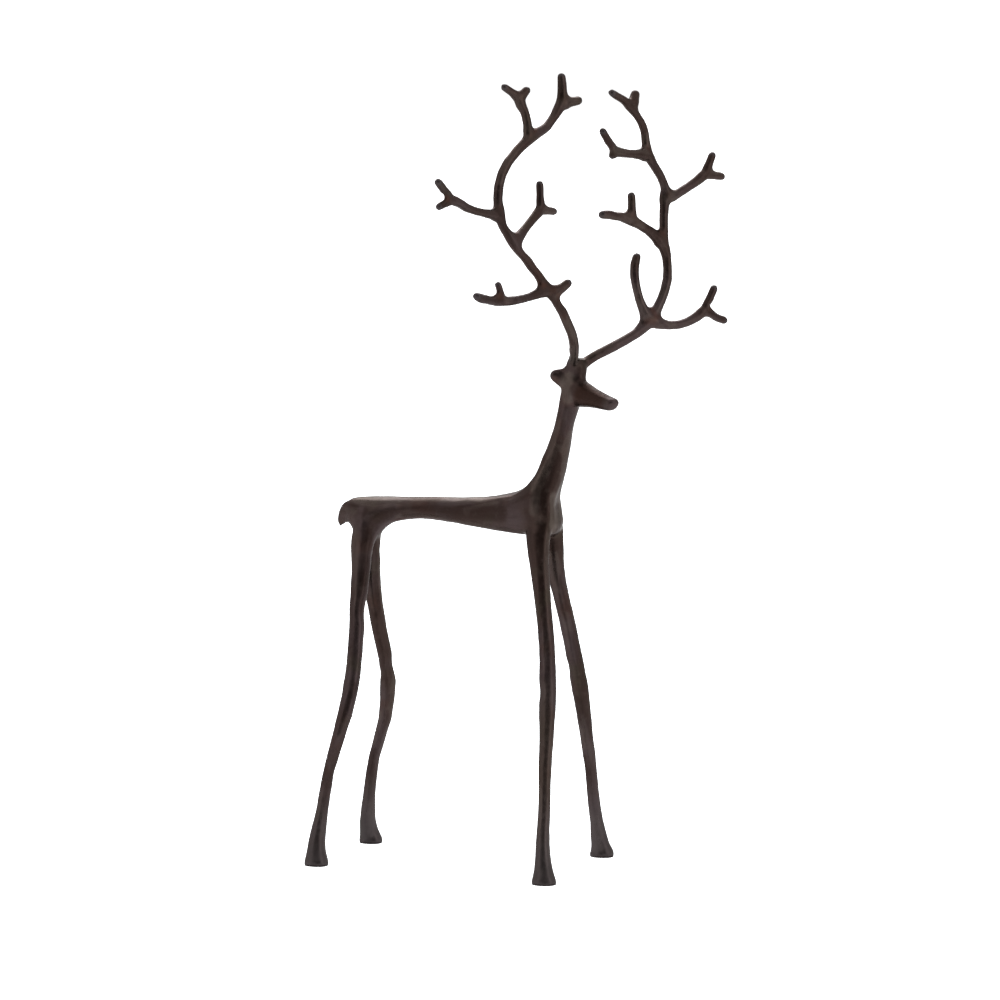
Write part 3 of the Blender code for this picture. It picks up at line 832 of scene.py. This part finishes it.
def patina_grain(tree, marks):
    """Return the surface's direction, roughened by the fine grain of the cast skin."""
    bump = add(tree, "ShaderNodeBump")
    bump.inputs["Strength"].default_value = GRAIN_STRENGTH
    bump.inputs["Distance"].default_value = GRAIN_DEPTH
    tree.links.new(combined(tree, "ADD", marks["mottle"], marks["grain"]), bump.inputs["Height"])
    return bump.outputs["Normal"]


def patina(settings):
    """Return the bronze's dark patina, with warm, cooler and rubbed places, and with light and shade painted
    into its colour.
    """
    material = bpy.data.materials.new("dark_bronze_patina")
    material.use_nodes = True
    tree = material.node_tree
    shader = tree.nodes["Principled BSDF"]
    marks = patina_marks(tree)
    tree.links.new(patina_colour(tree, marks, settings), shader.inputs["Base Color"])
    tree.links.new(patina_roughness(tree, marks, settings), shader.inputs["Roughness"])
    tree.links.new(patina_grain(tree, marks), shader.inputs["Normal"])
    shader.inputs["Metallic"].default_value = METALLIC
    shader.inputs["Specular Tint"].default_value = EDGE_TINT
    return material


class REINDEER_OT_casting(bpy.types.Operator):
    """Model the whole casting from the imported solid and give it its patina"""

    bl_idname = "reindeer.casting"
    bl_label = "Reindeer Casting"

    def execute(self, context):
        settings = context.scene.reindeer_casting
        piece = welded_copy(frame["nodes"][NODE], "reindeer_casting")
        refine(piece, settings.spacing)
        web(piece, settings)
        work_surface(piece.data, settings)
        piece.data.materials.clear()
        piece.data.materials.append(patina(context.scene.reindeer_patina))
        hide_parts(NODE)
        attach(piece, BODY)
        return {"FINISHED"}


def camera_ray(tree):
    """Return 1 where the camera sees a surface or the world itself, and 0 for all other light."""
    return add(tree, "ShaderNodeLightPath").outputs["Is Camera Ray"]


def white_floor():
    """Return the floor's pale matt finish, which shows the camera plain white."""
    white = bpy.data.materials.new("white_floor")
    white.use_nodes = True
    shader = white.node_tree.nodes["Principled BSDF"]
    shader.inputs["Base Color"].default_value = (FLOOR_GREY, FLOOR_GREY, FLOOR_GREY, 1.0)
    shader.inputs["Roughness"].default_value = FLOOR_ROUGHNESS
    shader.inputs["Specular IOR Level"].default_value = 0.0
    shader.inputs["Emission Color"].default_value = (*WHITE, 1.0)
    white.node_tree.links.new(camera_ray(white.node_tree), shader.inputs["Emission Strength"])
    return white


def floor():
    """Lay a wide floor that the soles stand on."""
    mesh = bpy.data.meshes.new("floor")
    form = bmesh.new()
    bmesh.ops.create_circle(form, cap_ends=True, radius=FLOOR_RADIUS, segments=FLOOR_SIDES)
    form.to_mesh(mesh)
    form.free()
    piece = bpy.data.objects.new("floor", mesh)
    bpy.context.scene.collection.objects.link(piece)
    mesh.materials.append(white_floor())


def towards(azimuth, elevation):
    """Return the direction from the deer to something at an azimuth and an elevation."""
    level = math.cos(elevation)
    return Vector((math.sin(azimuth) * level, -math.cos(azimuth) * level, math.sin(elevation)))


def stand(thing, aim, direction, distance):
    """Stand a light or the camera off the aim point, turned to it."""
    thing.location = aim + direction * distance
    thing.rotation_mode = "QUATERNION"
    thing.rotation_quaternion = (-direction).to_track_quat("-Z", "Y")
    bpy.context.scene.collection.objects.link(thing)


def softbox(box, azimuth, aim):
    """Hang one wide, even light, turned to the aim point."""
    light = bpy.data.lights.new(box.name, "AREA")
    light.shape = "RECTANGLE"
    light.size = box.width
    light.size_y = box.height
    light.energy = box.power
    light.color = box.colour
    lamp = bpy.data.objects.new(box.name, light)
    direction = towards(azimuth + math.radians(box.turn), math.radians(box.rise))
    stand(lamp, aim, direction, box.distance)


def surround(settings):
    """Make the world an even white that is dark round the camera, and plain white as a backdrop."""
    world = bpy.data.worlds.new("white_surround")
    world.use_nodes = True
    tree = world.node_tree
    background = tree.nodes["Background"]
    heading = add(tree, "ShaderNodeTexCoord").outputs["Generated"]
    facing = add(tree, "ShaderNodeVectorMath", operation="DOT_PRODUCT")
    tree.links.new(heading, facing.inputs[0])
    facing.inputs[1].default_value = towards(settings.azimuth - DARK_TURN, 0.0)
    brightness = between(tree, facing.outputs["Value"], math.cos(DARK_RIM), math.cos(DARK_CORE),
                         settings.surround, settings.front)
    shown = add(tree, "ShaderNodeMix", data_type="FLOAT")
    tree.links.new(camera_ray(tree), shown.inputs["Factor"])
    tree.links.new(brightness, shown.inputs["A"])
    shown.inputs["B"].default_value = settings.backdrop
    tree.links.new(shown.outputs["Result"], background.inputs["Strength"])
    background.inputs["Color"].default_value = (*WHITE, 1.0)
    bpy.context.scene.world = world


def camera(settings):
    """Stand the camera where the photograph was taken from."""
    lens = bpy.data.cameras.new("camera")
    lens.lens = settings.lens
    lens.sensor_width = SENSOR_WIDTH
    lens.clip_end = 3 * FLOOR_RADIUS
    eye = bpy.data.objects.new("camera", lens)
    stand(eye, Vector(settings.aim), towards(settings.azimuth, settings.elevation), settings.distance)
    bpy.context.scene.camera = eye


class REINDEER_OT_stage(bpy.types.Operator):
    """Lay the white floor and set up the surround, the soft lights and the camera"""

    bl_idname = "reindeer.stage"
    bl_label = "Floor, Lights and Camera"

    def execute(self, context):
        settings = context.scene.reindeer_studio
        floor()
        surround(settings)
        for box in SOFTBOXES:
            softbox(box, settings.azimuth, Vector(settings.aim))
        camera(settings)
        context.scene.view_settings.view_transform = "Standard"
        return {"FINISHED"}


class REINDEER_PT_panel(bpy.types.Panel):
    """Lists the steps that dress the reindeer, and their settings"""

    bl_idname = "REINDEER_PT_panel"
    bl_label = "Cast Bronze Reindeer"
    bl_space_type = "VIEW_3D"
    bl_region_type = "UI"
    bl_category = "Reindeer"

    def draw(self, context):
        for group, operator in PANEL_ROWS:
            settings = getattr(context.scene, group)
            box = self.layout.box()
            for name in settings.bl_rna.properties.keys():
                if name not in ("rna_type", "name"):
                    box.prop(settings, name)
            if operator:
                box.operator(operator)


PANEL_ROWS = (
    ("reindeer_patina", None),
    ("reindeer_casting", REINDEER_OT_casting.bl_idname),
    ("reindeer_studio", REINDEER_OT_stage.bl_idname),
)
GROUPS = (
    ("reindeer_casting", CastingSettings),
    ("reindeer_patina", PatinaSettings),
    ("reindeer_studio", StudioSettings),
)
ACTIONS = (REINDEER_OT_casting, REINDEER_OT_stage, REINDEER_PT_panel)


def register():
    """Register the settings, the operators and the panel."""
    for name, group in GROUPS:
        bpy.utils.register_class(group)
        setattr(bpy.types.Scene, name, bpy.props.PointerProperty(type=group))
    for action in ACTIONS:
        bpy.utils.register_class(action)


def unregister():
    """Remove the settings, the operators and the panel."""
    for action in reversed(ACTIONS):
        bpy.utils.unregister_class(action)
    for name, group in reversed(GROUPS):
        delattr(bpy.types.Scene, name)
        bpy.utils.unregister_class(group)


def main():
    """Dress the reindeer and set its stage."""
    register()
    bpy.ops.reindeer.casting()
    bpy.ops.reindeer.stage()


if __name__ == "__main__":
    main()
